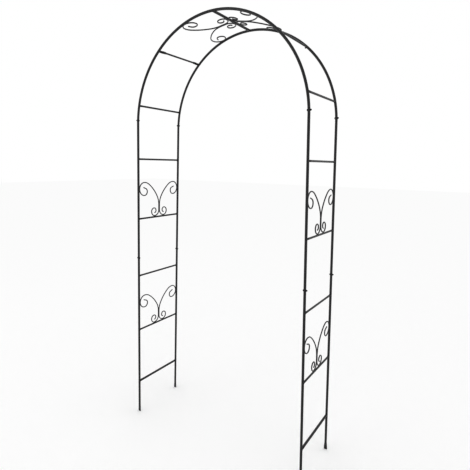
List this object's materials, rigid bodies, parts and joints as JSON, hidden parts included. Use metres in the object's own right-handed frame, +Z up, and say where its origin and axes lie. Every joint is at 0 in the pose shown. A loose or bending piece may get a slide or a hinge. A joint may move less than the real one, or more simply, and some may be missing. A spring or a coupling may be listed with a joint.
{
  "type": "metal trellis arch",
  "caption": "Free-standing garden arch of round steel tube: two hoops tied into side ladders by rungs, with bent-wire scrolls, on pinched ground spikes.",
  "frame": {"origin": "on the ground, midway between the four spike tips", "axes": "+X across the walkway, +Y through the arch along the rungs, +Z up"},
  "size_m": [1.192, 0.369, 2.3998],
  "materials": {
    "frame_tube": "black powder coat, fine satin texture",
    "rung_bar": "black powder coat, fine satin texture",
    "scroll_wire": "black powder coat, fine satin texture",
    "fastener": "blackened steel, slightly glossy"
  },
  "bodies": {
    "root": {"crossbar_bolts": "fastener", "crossbar_left": "rung_bar", "crossbar_lug_left_back": "rung_bar", "crossbar_lug_left_front": "rung_bar", "crossbar_lug_right_back": "rung_bar", "crossbar_lug_right_front": "rung_bar", "crossbar_nuts": "fastener", "crossbar_right": "rung_bar", "crown_rung": "frame_tube", "crown_stub_back": "frame_tube", "crown_stub_front": "frame_tube", "foot_rung_left": "frame_tube", "foot_rung_right": "frame_tube", "hoop_quarter_left_back": "frame_tube", "hoop_quarter_left_front": "frame_tube", "hoop_quarter_right_back": "frame_tube", "hoop_quarter_right_front": "frame_tube", "lower_post_left_back": "frame_tube", "lower_post_left_front": "frame_tube", "lower_post_right_back": "frame_tube", "lower_post_right_front": "frame_tube", "post_joint_bolts": "fastener", "post_joint_nuts": "fastener", "rung_1_left": "rung_bar", "rung_1_right": "rung_bar", "rung_2_left": "rung_bar", "rung_2_right": "rung_bar", "rung_3_left": "rung_bar", "rung_3_right": "rung_bar", "rung_4_left": "rung_bar", "rung_4_right": "rung_bar", "rung_5_left": "rung_bar", "rung_5_right": "rung_bar", "scroll_crown_left_back": "scroll_wire", "scroll_crown_left_front": "scroll_wire", "scroll_crown_right_back": "scroll_wire", "scroll_crown_right_front": "scroll_wire", "scroll_high_left_back": "scroll_wire", "scroll_high_left_front": "scroll_wire", "scroll_high_right_back": "scroll_wire", "scroll_high_right_front": "scroll_wire", "scroll_low_left_back": "scroll_wire", "scroll_low_left_front": "scroll_wire", "scroll_low_right_back": "scroll_wire", "scroll_low_right_front": "scroll_wire", "spike_left_back": "frame_tube", "spike_left_front": "frame_tube", "spike_right_back": "frame_tube", "spike_right_front": "frame_tube", "upper_post_left_back": "frame_tube", "upper_post_left_front": "frame_tube", "upper_post_right_back": "frame_tube", "upper_post_right_front": "frame_tube"}
  },
  "joints": []
}
